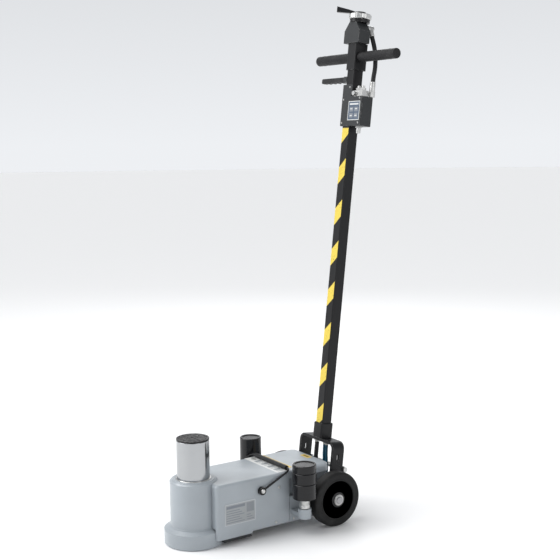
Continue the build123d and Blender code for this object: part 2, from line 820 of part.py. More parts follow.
with BuildPart() as yoke_bolts:
    for side in (1, -1):
        with BuildSketch(Plane.YZ.offset(side * bolt_start)):
            with Locations((pivot_y, pivot_z)):
                Circle(pivot_radius)
        extrude(amount=side * (leg_outer + 1 - bolt_start))
        with BuildSketch(Plane.YZ.offset(side * (leg_outer + 0.6))):
            with Locations((pivot_y, pivot_z)):
                RegularPolygon(13, 6)
        extrude(amount=side * 8)
        with BuildSketch(Plane.YZ.offset(side * (frame_outer - frame_sheet - 0.01))):
            with Locations((pivot_y, pivot_z)):
                RegularPolygon(13, 6)
        extrude(amount=-side * 8)
        with BuildSketch(Plane.YZ.offset(side * (frame_outer + 0.01))):
            with Locations((pivot_y, pivot_z)):
                Circle(12)
        extrude(amount=side * 2.2)
yoke_bolts.part.label = "yoke_bolts"
export_step(yoke_bolts.part, "parts/yoke_bolts.step")

with BuildPart() as handle_tube:
    with BuildSketch(handle_plane.offset(yoke_top)):
        RectangleRounded(tube_width, tube_depth, 3)
        RectangleRounded(tube_width - 2 * tube_wall, tube_depth - 2 * tube_wall, 1.5, mode=Mode.SUBTRACT)
    extrude(amount=tube_top - yoke_top)
    with BuildSketch(handle_side):
        with Locations((0, t_bar_height)):
            Circle(t_bar_radius)
    extrude(amount=tube_width, both=True, mode=Mode.SUBTRACT)
handle_tube.part.label = "handle_tube"
export_step(handle_tube.part, "parts/handle_tube.step")

with BuildPart() as handle_socket:
    with BuildSketch(handle_plane.offset(yoke_top)):
        RectangleRounded(tube_width + 8, tube_depth + 8, 5)
        RectangleRounded(tube_width, tube_depth, 3, mode=Mode.SUBTRACT)
    extrude(amount=socket_top - yoke_top)
    chamfer(handle_socket.faces().sort_by(Axis.Z)[-1].outer_wire().edges(), 2)
handle_socket.part.label = "handle_socket"
export_step(handle_socket.part, "parts/handle_socket.step")

with BuildPart() as head_sleeve:
    with BuildSketch(handle_plane.offset(sleeve_bottom)):
        with Locations((0, 1.5)):
            RectangleRounded(tube_width + 6, tube_depth + 9, 3)
        RectangleRounded(tube_width, tube_depth, 3, mode=Mode.SUBTRACT)
    extrude(amount=sleeve_top - sleeve_bottom)
    with BuildSketch(handle_side):
        with Locations((0, t_bar_height)):
            Circle(t_bar_radius)
    extrude(amount=tube_width, both=True, mode=Mode.SUBTRACT)
head_sleeve.part.label = "head_sleeve"
export_step(head_sleeve.part, "parts/head_sleeve.step")

with BuildPart() as t_bar:
    with BuildSketch(handle_side.offset(-grip_end + 12)):
        with Locations((0, t_bar_height)):
            Circle(t_bar_radius)
            Circle(t_bar_radius - 2.5, mode=Mode.SUBTRACT)
    extrude(amount=2 * (grip_end - 12))
t_bar.part.label = "t_bar"
export_step(t_bar.part, "parts/t_bar.step")

with BuildPart() as t_bar_grips:
    for side in (1, -1):
        with BuildSketch(handle_side.offset(side * (tube_width / 2 + 3.2))):
            with Locations((0, t_bar_height)):
                Circle(grip_radius)
        extrude(amount=side * (grip_end - tube_width / 2 - 3.2))
    fillet(t_bar_grips.edges().group_by(Axis.X)[-1], 4)
    fillet(t_bar_grips.edges().group_by(Axis.X)[0], 4)
    with BuildSketch(handle_side):
        with Locations((0, t_bar_height)):
            Circle(t_bar_radius)
    extrude(amount=grip_end - 12, both=True, mode=Mode.SUBTRACT)
t_bar_grips.part.label = "t_bar_grips"
export_step(t_bar_grips.part, "parts/t_bar_grips.step")

bracket_outline = [(-32, 1202), (32, 1202), (32, 1235), (14, bracket_top), (-14, bracket_top), (-32, 1235)]
bracket_depth = bracket_front + 14.0
stem_radius = 12.0

with BuildPart() as head_bracket:
    with BuildSketch(handle_front.offset(bracket_front)):
        with BuildLine():
            Polyline(*bracket_outline, close=True)
        make_face()
    extrude(amount=-bracket_depth)
    with BuildSketch(handle_front.offset(bracket_front - sheet)):
        with BuildLine():
            Polyline(*bracket_outline, close=True)
        make_face()
        offset(amount=-sheet, kind=Kind.INTERSECTION)
    extrude(amount=-bracket_depth, mode=Mode.SUBTRACT)
    with BuildSketch(handle_plane.offset(bracket_top)):
        Circle(stem_radius)
    extrude(amount=-2 * sheet, mode=Mode.SUBTRACT)
head_bracket.part.label = "head_bracket"
export_step(head_bracket.part, "parts/head_bracket.step")

with BuildPart() as release_valve:
    with BuildSketch(handle_plane.offset(1212)):
        Circle(stem_radius)
    extrude(amount=bracket_top - 1212)
    with BuildSketch(handle_plane.offset(bracket_top)):
        Circle(27)
    extrude(amount=valve_top - bracket_top)
release_valve.part.label = "release_valve"
export_step(release_valve.part, "parts/release_valve.step")

with BuildPart() as valve_knob:
    with BuildSketch(handle_plane.offset(valve_top + 0.4)):
        Circle(knob_radius)
    extrude(amount=knob_top - valve_top - 0.4)
    chamfer(valve_knob.edges(), 1.5)
valve_knob.part.label = "valve_knob"
export_step(valve_knob.part, "parts/valve_knob.step")

lever_turn = 45.0
lever_reach = 64.0
lever_direction = handle_plane.x_dir * -cos(radians(lever_turn)) + handle_plane.y_dir * -sin(radians(lever_turn))
lever_side = Plane(
    origin=handle_point(0, 0, knob_top),
    x_dir=lever_direction,
    z_dir=lever_direction.cross(handle_plane.z_dir),
)

with BuildPart() as valve_lever:
    with BuildSketch(lever_side):
        with BuildLine():
            Polyline(
                (-10, 0),
                (14, 0),
                (32, 2),
                (lever_reach, 3),
                (lever_reach, 18),
                (30, 11),
                (12, 6),
                (-10, 6),
                close=True,
            )
        make_face()
    extrude(amount=5, both=True)
    with BuildSketch(handle_plane.offset(knob_top)):
        Circle(14)
    extrude(amount=6)
valve_lever.part.label = "valve_lever"
export_step(valve_lever.part, "parts/valve_lever.step")

box_left = tube_width / 2 + 0.2
cover_thickness = 3.0
box_middle = (box_left + box_right) / 2
box_height_middle = (box_bottom + box_top) / 2

with BuildPart() as valve_box:
    with BuildSketch(handle_plane.offset(box_bottom)):
        with Locations((box_middle, (box_back - tube_depth / 2) / 2)):
            Rectangle(box_right - box_left, box_back + tube_depth / 2)
    extrude(amount=box_top - box_bottom)
    with BuildSketch(handle_front.offset(tube_depth / 2)):
        with Locations((box_middle, box_height_middle)):
            Rectangle(box_right - box_left - 6, box_top - box_bottom - 6)
    extrude(amount=-(box_back + tube_depth / 2 - sheet), mode=Mode.SUBTRACT)
valve_box.part.label = "valve_box"
export_step(valve_box.part, "parts/valve_box.step")

with BuildPart() as valve_box_cover:
    with BuildSketch(handle_front.offset(tube_depth / 2)):
        with Locations(((box_right - 22) / 2, box_height_middle)):
            Rectangle(box_right + 22, box_top - box_bottom)
        with Locations((-3, box_top + 16)):
            Rectangle(38, 32)
    extrude(amount=cover_thickness)
    with BuildSketch(handle_plane.offset(box_bottom)):
        with Locations((-20.75, -2)):
            Rectangle(2.5, tube_depth - 4)
    extrude(amount=box_top - box_bottom)
valve_box_cover.part.label = "valve_box_cover"
export_step(valve_box_cover.part, "parts/valve_box_cover.step")

nipple_x = 36.0
nipple_radius = 6.0
nipple_length = 14.0
nipple_hex_height = 4.0

with BuildPart() as inlet_nipple:
    with BuildSketch(handle_plane.offset(box_bottom)):
        with Locations((nipple_x, 0)):
            RegularPolygon(9, 6)
    extrude(amount=-nipple_hex_height)
    with BuildSketch(handle_plane.offset(box_bottom - nipple_hex_height)):
        with Locations((nipple_x, 0)):
            Circle(nipple_radius)
    extrude(amount=-nipple_length)
    with BuildSketch(handle_plane.offset(box_bottom - nipple_hex_height - nipple_length)):
        with Locations((nipple_x, 0)):
            Circle(2.5)
    extrude(amount=nipple_length, mode=Mode.SUBTRACT)
inlet_nipple.part.label = "inlet_nipple"
export_step(inlet_nipple.part, "parts/inlet_nipple.step")

with BuildPart() as fitting_block:
    with BuildSketch(handle_plane.offset(box_top)):
        with Locations((37, -3)):
            Rectangle(36, 22)
    extrude(amount=16)
    with BuildSketch(handle_plane.offset(box_top + 16)):
        with Locations((28, -4), (46, -4)):
            RegularPolygon(8, 6)
    extrude(amount=7)
    with BuildSketch(handle_plane.offset(box_top + 23)):
        with Locations((28, -4), (46, -4)):
            Circle(4.5)
    extrude(amount=6)
    with BuildSketch(handle_front.offset(14)):
        with Locations((27, box_top + 8)):
            Circle(6)
    extrude(amount=8)
fitting_block.part.label = "fitting_block"
export_step(fitting_block.part, "parts/fitting_block.step")

# ---------------------------------------------------------------- trigger

trigger_x = -21.0
trigger_pin_radius = 2.5
lever_half_thickness = 4.6
trigger_top = trigger_height + 7.0
trigger_end = -130.0

with BuildPart() as trigger_bracket:
    for ear_back in (-trigger_front - lever_half_thickness - 3.3, -trigger_front + lever_half_thickness + 0.3):
        with BuildSketch(handle_front.offset(-ear_back)):
            with Locations(((trigger_x - tube_width / 2) / 2 - 3, trigger_height)):
                Rectangle(-trigger_x - tube_width / 2 + 6, 16)
            with Locations((trigger_x, trigger_height)):
                Circle(trigger_pin_radius, mode=Mode.SUBTRACT)
        extrude(amount=-3)
    with BuildSketch(handle_front.offset(trigger_front + lever_half_thickness + 3.3)):
        with Locations((trigger_x, trigger_height)):
            Circle(trigger_pin_radius)
    extrude(amount=-2 * (lever_half_thickness + 3.3))
trigger_bracket.part.label = "trigger_bracket"
export_step(trigger_bracket.part, "parts/trigger_bracket.step")

with BuildPart() as trigger:
    with BuildSketch(handle_front.offset(trigger_front - lever_half_thickness)) as lever_outline:
        with BuildLine():
            Polyline(
                (trigger_x, trigger_height - 8),
                (trigger_x + 4, trigger_height - 3.5),
                (trigger_x + 4, trigger_height + 3.5),
                (trigger_x, trigger_top),
                (trigger_end, trigger_top),
                (trigger_end, trigger_top - 13),
                (trigger_end + 20, trigger_top - 15),
                (trigger_x - 12, trigger_height - 9),
                close=True,
            )
        make_face()
        fillet(lever_outline.vertices().group_by(Axis.X)[0], 4)
        for finger in range(4):
            with Locations((trigger_end + 22 + 21 * finger, trigger_top - 29)):
                Circle(16, mode=Mode.SUBTRACT)
        with Locations((trigger_x, trigger_height)):
            Circle(trigger_pin_radius + slide_clearance, mode=Mode.SUBTRACT)
    extrude(amount=2 * lever_half_thickness)
trigger.part.label = "trigger"
export_step(trigger.part, "parts/trigger.step")

# ---------------------------------------------------------------- hoses

air_hose_radius = 6.0
air_hose_local = [
    (20, 26, 1234),
    (31, 27, 1211),
    (41.5, 27.5, 1187),
    (48, 27, 1162),
    (52.5, 25, 1136),
    (58, 17.2, 1111),
    (58, 17.2, 1088),
]
air_hose_route = [tuple(handle_point(*point)) for point in air_hose_local]
air_hose = hose_tube(air_hose_route, air_hose_radius)
air_hose.part.label = "air_hose"
export_step(air_hose.part, "parts/air_hose.step")

hose_start = Vector(*air_hose_route[0])
hose_back = (hose_start - Vector(*air_hose_route[1])).normalized()
elbow_centre = handle_plane.to_local_coords(hose_start + hose_back * 12)

with BuildPart() as hose_elbows:
    with BuildSketch(Plane(origin=hose_start, z_dir=hose_back)):
        Circle(7.5)
    extrude(amount=12)
    with BuildSketch(handle_front.offset(-14)):
        with Locations((elbow_centre.X, elbow_centre.Z)):
            Circle(8)
    extrude(amount=-20)
    with BuildSketch(handle_plane.offset(1088)):
        with Locations((58, 17.2)):
            Circle(7.5)
    extrude(amount=-14)
    with BuildSketch(handle_plane.offset(1074)):
        with Locations((58, 17.2)):
            RegularPolygon(8.5, 6)
    extrude(amount=-(1074 - box_top))
    with BuildSketch(handle_front.offset(-8)):
        with Locations((51, 1067)):
            Circle(3.5)
    extrude(amount=-6)
hose_elbows.part.label = "hose_elbows"
export_step(hose_elbows.part, "parts/hose_elbows.step")

lower_hose_radius = 4.0
conduit_radius = 6.0
yoke_under = yoke_top - strap_thickness


def lower_route(x_top, x_low, end_z):
    """Route from under the yoke down behind the hood and forward into the frame's rear plate."""
    start = handle_point(x_top, 0, yoke_under)
    second = handle_point(x_top, 0, yoke_under - 27)
    return [
        tuple(start),
        tuple(second),
        (x_top + 0.7 * (x_low - x_top), 403.5, 144),
        (x_low, 403, 116),
        (x_low, 399, end_z + 33),
        (x_low, 389, end_z + 12),
        (x_low, housing_rear - 3, end_z),
    ]


def trimmed(tube):
    """Hose cut flush with the outside of the frame's rear plate."""
    with BuildPart() as piece:
        add(tube.part)
        split(bisect_by=Plane.XZ.offset(-housing_rear), keep=Keep.BOTTOM)
    return piece


blue_hose_one = trimmed(hose_tube(lower_route(13, 16, 57), lower_hose_radius))
blue_hose_one.part.label = "blue_hose_one"
export_step(blue_hose_one.part, "parts/blue_hose_one.step")
blue_hose_two = trimmed(hose_tube(lower_route(23, 28, 54), lower_hose_radius))
blue_hose_two.part.label = "blue_hose_two"
export_step(blue_hose_two.part, "parts/blue_hose_two.step")
control_conduit = trimmed(hose_tube(lower_route(-21, -24, 56), conduit_radius))
control_conduit.part.label = "control_conduit"
export_step(control_conduit.part, "parts/control_conduit.step")
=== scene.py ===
"""Looks of the air-hydraulic trolley jack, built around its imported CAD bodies."""

import json
from math import cos, pi, radians, sin

import bpy
from mathutils import Matrix, Vector


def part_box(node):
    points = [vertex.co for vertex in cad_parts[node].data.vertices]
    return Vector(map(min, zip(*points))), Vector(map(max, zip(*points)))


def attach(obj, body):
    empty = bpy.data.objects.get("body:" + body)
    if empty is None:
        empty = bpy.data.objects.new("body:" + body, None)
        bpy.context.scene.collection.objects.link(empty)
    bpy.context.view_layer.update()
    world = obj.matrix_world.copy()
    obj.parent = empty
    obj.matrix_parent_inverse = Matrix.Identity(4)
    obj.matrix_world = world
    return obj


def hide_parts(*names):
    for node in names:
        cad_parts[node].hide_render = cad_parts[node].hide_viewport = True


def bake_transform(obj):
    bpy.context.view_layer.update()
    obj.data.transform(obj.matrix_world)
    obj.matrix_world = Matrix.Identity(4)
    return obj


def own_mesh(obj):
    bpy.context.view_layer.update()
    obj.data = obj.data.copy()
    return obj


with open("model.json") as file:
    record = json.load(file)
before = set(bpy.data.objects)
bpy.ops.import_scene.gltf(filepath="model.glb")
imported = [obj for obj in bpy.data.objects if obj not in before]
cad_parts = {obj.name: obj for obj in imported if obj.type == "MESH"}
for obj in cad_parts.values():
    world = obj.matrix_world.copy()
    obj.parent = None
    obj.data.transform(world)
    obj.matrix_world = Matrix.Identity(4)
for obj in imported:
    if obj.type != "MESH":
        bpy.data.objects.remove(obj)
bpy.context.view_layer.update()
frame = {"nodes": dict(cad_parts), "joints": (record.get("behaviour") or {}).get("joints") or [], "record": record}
nodes = frame["nodes"]
joints = {joint["name"]: joint for joint in frame["joints"]}
MM = 0.001

# ------------------------------------------------------------------ camera

scene = bpy.context.scene
camera_place = (2.3338, -1.3279, 1.0095)
camera_azimuth, camera_elevation, camera_roll = radians(55.54), radians(7.2), radians(-0.6203)
camera_data = bpy.data.cameras.new("camera")
camera_data.lens = 69.7
camera_data.sensor_width = 36.0
camera = bpy.data.objects.new("camera", camera_data)
scene.collection.objects.link(camera)
camera.matrix_world = (
    Matrix.Translation(camera_place)
    @ Matrix.Rotation(camera_azimuth, 4, "Z")
    @ Matrix.Rotation(pi / 2 - camera_elevation, 4, "X")
    @ Matrix.Rotation(camera_roll, 4, "Z")
)
scene.camera = camera

# ------------------------------------------------------------------ places

pivot = Vector(joints["handle_tilt"]["pos_m"])
along = Vector(joints["release_turn"]["axis"]).normalized()
across = Vector((1, 0, 0))
rear = along.cross(across).normalized()
if rear.y < 0:
    rear = -rear
axle_low, axle_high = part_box("axle_shaft")
axle = (axle_low + axle_high) / 2

# In millimetres: the T-bar's axis along the handle, the valve cover's outer face (minus is towards the ram)
# and the housing's side
bar_height = 1166
cover_face = -19.0
shell_side = 84


def on_handle(x, back, height):
    """Point across, behind and along the handle, in millimetres, in the row frame."""
    return pivot + MM * (x * across + back * rear + height * along)


# ------------------------------------------------------------------ materials


class Nodes:
    """Builder of one procedural material."""

    def __init__(self, name):
        self.material = bpy.data.materials.new(name)
        self.material.use_nodes = True
        self.tree = self.material.node_tree
        self.shader = self.tree.nodes["Principled BSDF"]
        self.place = self.tree.nodes.new("ShaderNodeTexCoord").outputs["Object"]

    def add(self, kind, inputs=None, **settings):
        node = self.tree.nodes.new(kind)
        for key, value in settings.items():
            setattr(node, key, value)
        for key, value in (inputs or {}).items():
            self.put(node.inputs[key], value)
        return node

    def put(self, socket, value):
        if isinstance(value, bpy.types.NodeSocket):
            self.tree.links.new(value, socket)
        else:
            socket.default_value = value

    def noise(self, scale, detail=4.0, stretch=(1, 1, 1)):
        mapping = self.add("ShaderNodeMapping", {"Vector": self.place, "Scale": stretch})
        node = self.add(
            "ShaderNodeTexNoise", {"Vector": mapping.outputs[0], "Scale": scale, "Detail": detail}
        )
        return node.outputs["Fac"]

    def ramp(self, value, low, high, start=0.0, end=1.0):
        node = self.add(
            "ShaderNodeMapRange",
            {"Value": value, "From Min": low, "From Max": high, "To Min": start, "To Max": end},
        )
        return node.outputs["Result"]

    def math(self, operation, first, second):
        return self.add("ShaderNodeMath", {0: first, 1: second}, operation=operation).outputs[0]

    def vector(self, operation, first, fixed):
        """Vector operation whose second term is fixed."""
        return self.add("ShaderNodeVectorMath", {0: first, 1: tuple(fixed)}, operation=operation)

    def mix(self, factor, first, second):
        node = self.add("ShaderNodeMix", data_type="RGBA")
        self.put(node.inputs["Factor"], factor)
        self.put(node.inputs[6], first)
        self.put(node.inputs[7], second)
        return node.outputs[2]

    def bump(self, height, distance, strength=1.0):
        node = self.add(
            "ShaderNodeBump", {"Height": height, "Distance": distance, "Strength": strength}
        )
        self.put(self.shader.inputs["Normal"], node.outputs["Normal"])

    def edges(self, radius, low=0.80, high=0.97):
        """Worn-edge mask: one on a sharp edge, nought on a face."""
        rounded = self.add("ShaderNodeBevel", {"Radius": radius}, samples=4).outputs["Normal"]
        plain = self.add("ShaderNodeNewGeometry").outputs["Normal"]
        dot = self.add(
            "ShaderNodeVectorMath", {0: rounded, 1: plain}, operation="DOT_PRODUCT"
        ).outputs["Value"]
        return self.ramp(dot, low, high, 1.0, 0.0)


def rgba(red, green, blue):
    return (red, green, blue, 1.0)


def painted(name, colour, roughness, coat=0.0, worn=None, grain=380.0, specular=0.5):
    """Enamel over metal: orange peel, patchy gloss, dust and chipped edges."""
    kit = Nodes(name)
    patch = kit.noise(9.0, 5.0)
    dirt = kit.ramp(kit.noise(26.0, 8.0), 0.52, 0.80)
    darker = rgba(*[channel * 0.86 for channel in colour])
    tone = kit.mix(kit.ramp(patch, 0.3, 0.7), rgba(*colour), darker)
    if worn:
        broken = kit.math("MULTIPLY", kit.edges(0.0016), kit.ramp(kit.noise(150.0, 6.0), 0.47, 0.60))
        tone = kit.mix(broken, tone, rgba(*worn))
        kit.put(kit.shader.inputs["Metallic"], kit.math("MULTIPLY", broken, 0.7))
    kit.put(kit.shader.inputs["Base Color"], tone)
    rough = kit.math("ADD", kit.ramp(patch, 0.25, 0.75, roughness - 0.05, roughness + 0.06),
                     kit.math("MULTIPLY", dirt, 0.10))
    kit.put(kit.shader.inputs["Roughness"], rough)
    kit.shader.inputs["Coat Weight"].default_value = coat
    kit.shader.inputs["Specular IOR Level"].default_value = specular
    kit.shader.inputs["Coat Roughness"].default_value = 0.12
    kit.bump(kit.noise(grain, 3.0), 0.00012, 0.5)
    return kit.material


def metal(name, colour, roughness, brush=(1, 1, 1), spots=0.5):
    """Bare or plated metal with brushing, fingerprints and faint tarnish."""
    kit = Nodes(name)
    kit.shader.inputs["Metallic"].default_value = 1.0
    lines = kit.noise(700.0, 3.0, brush)
    tarnish = kit.ramp(kit.noise(40.0, 6.0), 0.5, 0.8, 0.0, spots)
    kit.put(kit.shader.inputs["Base Color"],
            kit.mix(tarnish, rgba(*colour), rgba(*[channel * 0.62 for channel in colour])))
    smear = kit.ramp(kit.noise(14.0, 5.0), 0.3, 0.7, roughness - 0.04, roughness + 0.08)
    kit.put(kit.shader.inputs["Roughness"],
            kit.math("ADD", smear, kit.ramp(lines, 0.3, 0.7, -0.03, 0.03)))
    kit.bump(lines, 0.00005, 0.35)
    return kit.material


def moulded(name, colour, roughness, grain=900.0, depth=0.00015, dust=0.12):
    """Rubber or plastic with a fine grain and pale dust."""
    kit = Nodes(name)
    pale = rgba(*[channel + dust * 0.35 for channel in colour])
    dusty = kit.ramp(kit.noise(32.0, 8.0), 0.50, 0.78)
    kit.put(kit.shader.inputs["Base Color"], kit.mix(dusty, rgba(*colour), pale))
    kit.put(kit.shader.inputs["Roughness"],
            kit.ramp(kit.noise(18.0, 6.0), 0.3, 0.7, roughness - 0.06, roughness + 0.08))
    kit.shader.inputs["Specular IOR Level"].default_value = 0.3
    kit.bump(kit.noise(grain, 4.0), depth, 0.6)
    return kit.material


def striped():
    """Black handle enamel with slanting yellow bands on the face towards the ram."""
    black, yellow = (0.006, 0.006, 0.007), (0.76, 0.58, 0.09)
    # Metres along the handle, apart from the slant, which is a slope
    first_edge, last_edge = 0.1675, 0.975
    pitch, band, slant = 0.1112, 0.046, 0.95
    kit = Nodes("handle_stripes")
    moved = kit.vector("SUBTRACT", kit.place, pivot).outputs[0]
    height = kit.vector("DOT_PRODUCT", moved, along).outputs["Value"]
    side = kit.add("ShaderNodeSeparateXYZ", {0: moved}).outputs["X"]
    slanted = kit.math("SUBTRACT", height, kit.math("MULTIPLY", side, slant))
    level = kit.math("SUBTRACT", slanted, first_edge)
    ragged = kit.math("ADD", level, kit.ramp(kit.noise(900.0, 2.0), 0.3, 0.7, -0.0004, 0.0004))
    phase = kit.math("FLOORED_MODULO", ragged, pitch)
    inside = kit.math("LESS_THAN", phase, band)
    below_top = kit.math("LESS_THAN", height, last_edge)
    above_low = kit.math("GREATER_THAN", ragged, 0.0)
    normal = kit.add("ShaderNodeNewGeometry").outputs["True Normal"]
    turned = kit.add("ShaderNodeVectorTransform", {0: normal}, vector_type="NORMAL",
                     convert_from="WORLD", convert_to="OBJECT").outputs[0]
    facing = kit.vector("DOT_PRODUCT", turned, -rear).outputs["Value"]
    front = kit.math("GREATER_THAN", facing, 0.9)
    between = kit.math("MULTIPLY", below_top, above_low)
    mask = kit.math("MULTIPLY", kit.math("MULTIPLY", inside, front), between)
    scuffed = kit.math("MULTIPLY", mask, kit.ramp(kit.noise(240.0, 8.0), 0.30, 0.36))
    kit.put(kit.shader.inputs["Base Color"], kit.mix(scuffed, rgba(*black), rgba(*yellow)))
    kit.put(kit.shader.inputs["Roughness"], kit.ramp(kit.noise(12.0, 5.0), 0.3, 0.7, 0.28, 0.42))
    kit.shader.inputs["Specular IOR Level"].default_value = 0.3
    kit.bump(kit.noise(420.0, 3.0), 0.0001, 0.5)
    return kit.material


BARE = (0.42, 0.41, 0.40)
looks = {
    "grey_paint": painted("grey_enamel", (0.36, 0.395, 0.425), 0.36, 0.25, (0.22, 0.22, 0.22)),
    "chrome": metal("hard_chrome", (0.44, 0.45, 0.46), 0.13, (0.05, 0.05, 1), 0.12),
    "zinc": metal("zinc_plate", (0.56, 0.56, 0.55), 0.30, (1, 1, 1), 0.5),
    "steel": metal("ground_steel", (0.36, 0.36, 0.37), 0.28, (1, 1, 0.08), 0.5),
    "black_paint": painted("black_enamel", (0.008, 0.008, 0.009), 0.36, 0.0, BARE, specular=0.3),
    "gloss_black": painted(
        "gloss_black_enamel", (0.004, 0.004, 0.005), 0.20, 0.12, (0.10, 0.10, 0.10), specular=0.35
    ),
    "black_plastic": moulded("black_plastic", (0.014, 0.014, 0.015), 0.38),
    "dark_metal": painted("dark_grey_enamel", (0.026, 0.028, 0.030), 0.42, 0.0, BARE, specular=0.35),
    "tyre": moulded("tyre_rubber", (0.006, 0.006, 0.006), 0.60, 600.0, 0.0003, 0.04),
    "rubber": moulded("soft_rubber", (0.010, 0.010, 0.011), 0.55, dust=0.05),
    "blue_hose": moulded("teal_hose", (0.006, 0.060, 0.105), 0.30, 300.0, 0.00005, 0.05),
    "plate": metal("foil_plate", (0.50, 0.52, 0.54), 0.35, (1, 0.05, 1), 0.2),
    "handle_paint": striped(),
}
PRINT_WHITE = painted("print_white", (0.66, 0.67, 0.66), 0.42, 0.2)
PRINT_YELLOW = painted("print_yellow", (0.74, 0.50, 0.05), 0.42, 0.2)
PRINT_BLACK = painted("print_black", (0.02, 0.02, 0.02), 0.45)
PRINT_GREY = painted("print_grey", (0.20, 0.22, 0.25), 0.45)
PRINT_SILVER = painted("print_silver", (0.33, 0.35, 0.36), 0.38, 0.1)
PRINT_SLATE = painted("print_slate", (0.24, 0.26, 0.28), 0.40, 0.1)
PRINT_BLUE = painted("print_blue", (0.07, 0.10, 0.15), 0.40, 0.1)

slots = {row["node"]: row["material_slot"] for row in frame["record"]["subparts"]}

# ------------------------------------------------------------------ CAD nodes

usual_bevel = 0.4
bevel_widths = {
    "base_foot": 1.2, "cylinder_tube": 0.8, "housing_shell": 0.6, "yoke": 1.2, "rear_frame": 0.8,
    "handle_socket": 0.8, "valve_box": 1.0, "valve_box_cover": 0.6, "head_bracket": 1.2,
    "trigger": 1.2, "valve_lever": 1.2, "base_plate": 0.8, "adapter_holders": 0.8, "tyre_right": 1.5,
    "tyre_left": 1.5, "hub_right": 0.8, "hub_left": 0.8,
}


def crease_group():
    """Node group that joins a CAD mesh's loose faces and keeps its corners crisp."""
    group = bpy.data.node_groups.new("crisp_corners", "GeometryNodeTree")
    group.interface.new_socket("Geometry", in_out="INPUT", socket_type="NodeSocketGeometry")
    group.interface.new_socket("Geometry", in_out="OUTPUT", socket_type="NodeSocketGeometry")
    start = group.nodes.new("NodeGroupInput")
    stop = group.nodes.new("NodeGroupOutput")
    merge = group.nodes.new("GeometryNodeMergeByDistance")
    merge.inputs["Distance"].default_value = 2e-6
    angle = group.nodes.new("GeometryNodeInputMeshEdgeAngle")
    sharp = group.nodes.new("FunctionNodeCompare")
    sharp.operation = "GREATER_THAN"
    sharp.inputs[1].default_value = radians(24)
    shade = group.nodes.new("GeometryNodeSetShadeSmooth")
    shade.domain = "EDGE"
    shade.inputs["Shade Smooth"].default_value = False
    link = group.links.new
    link(start.outputs[0], merge.inputs["Geometry"])
    link(merge.outputs["Geometry"], shade.inputs[0])
    link(angle.outputs["Unsigned Angle"], sharp.inputs[0])
    link(sharp.outputs[0], shade.inputs["Selection"])
    link(shade.outputs[0], stop.inputs[0])
    return group


crisp = crease_group()
for name, node in nodes.items():
    node.data.materials.clear()
    node.data.materials.append(looks[slots[name]])
    node.modifiers.new("crisp", "NODES").node_group = crisp
    bevel = node.modifiers.new("bevel", "BEVEL")
    bevel.width = bevel_widths.get(name, usual_bevel) * MM
    bevel.segments = 2
    bevel.limit_method = "ANGLE"
    bevel.angle_limit = radians(40)
    normals = node.modifiers.new("normals", "WEIGHTED_NORMAL")
    normals.keep_sharp = True

# ------------------------------------------------------------------ mesh tools


def piece(name, vertices, faces, look, body, smooth=40.0):
    """New mesh piece on a body, in the row frame."""
    mesh = bpy.data.meshes.new(name)
    mesh.from_pydata([tuple(v) for v in vertices], [], faces)
    mesh.validate()
    mesh.materials.append(look)
    mesh.shade_smooth()
    mesh.set_sharp_from_angle(angle=radians(smooth))
    thing = bpy.data.objects.new(name, mesh)
    scene.collection.objects.link(thing)
    if body:
        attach(thing, body)
    return thing


def side_axes(axis):
    """Two directions square to an axis."""
    first = axis.cross(Vector((0, 0, 1)) if abs(axis.z) < 0.9 else Vector((1, 0, 0))).normalized()
    return first, axis.cross(first).normalized()


def tube_faces(rows, steps, capped=True):
    """Faces that join rings of points in order, with a cap at each end."""
    faces = []
    for row in range(rows - 1):
        for step in range(steps):
            after = (step + 1) % steps
            faces.append((row * steps + step, row * steps + after,
                          (row + 1) * steps + after, (row + 1) * steps + step))
    if capped:
        last = (rows - 1) * steps
        faces.append(tuple(range(steps))[::-1])
        faces.append(tuple(last + step for step in range(steps)))
    return faces


def lathe(name, centre, axis, profile, look, body, steps=72, smooth=35.0):
    """Turned piece: profile gives (radius, distance along the axis) in millimetres."""
    axis = Vector(axis).normalized()
    first, second = side_axes(axis)
    points = []
    for radius, distance in profile:
        for step in range(steps):
            turn = 2 * pi * step / steps
            spread = radius * (cos(turn) * first + sin(turn) * second)
            points.append(Vector(centre) + MM * (spread + distance * axis))
    return piece(name, points, tube_faces(len(profile), steps), look, body, smooth)


def slab(name, corner, along_u, along_v, size, thickness, look, body):
    """Thin rectangular plate lying on a face; size in millimetres."""
    u, v = Vector(along_u).normalized(), Vector(along_v).normalized()
    normal = u.cross(v)
    base = Vector(corner)
    corners = []
    for lift in (0.0, thickness):
        for a, b in ((0, 0), (size[0], 0), (size[0], size[1]), (0, size[1])):
            corners.append(base + MM * (a * u + b * v + lift * normal))
    faces = [(3, 2, 1, 0), (4, 5, 6, 7), (0, 1, 5, 4), (1, 2, 6, 5), (2, 3, 7, 6), (3, 0, 4, 7)]
    return piece(name, corners, faces, look, body, 30.0)


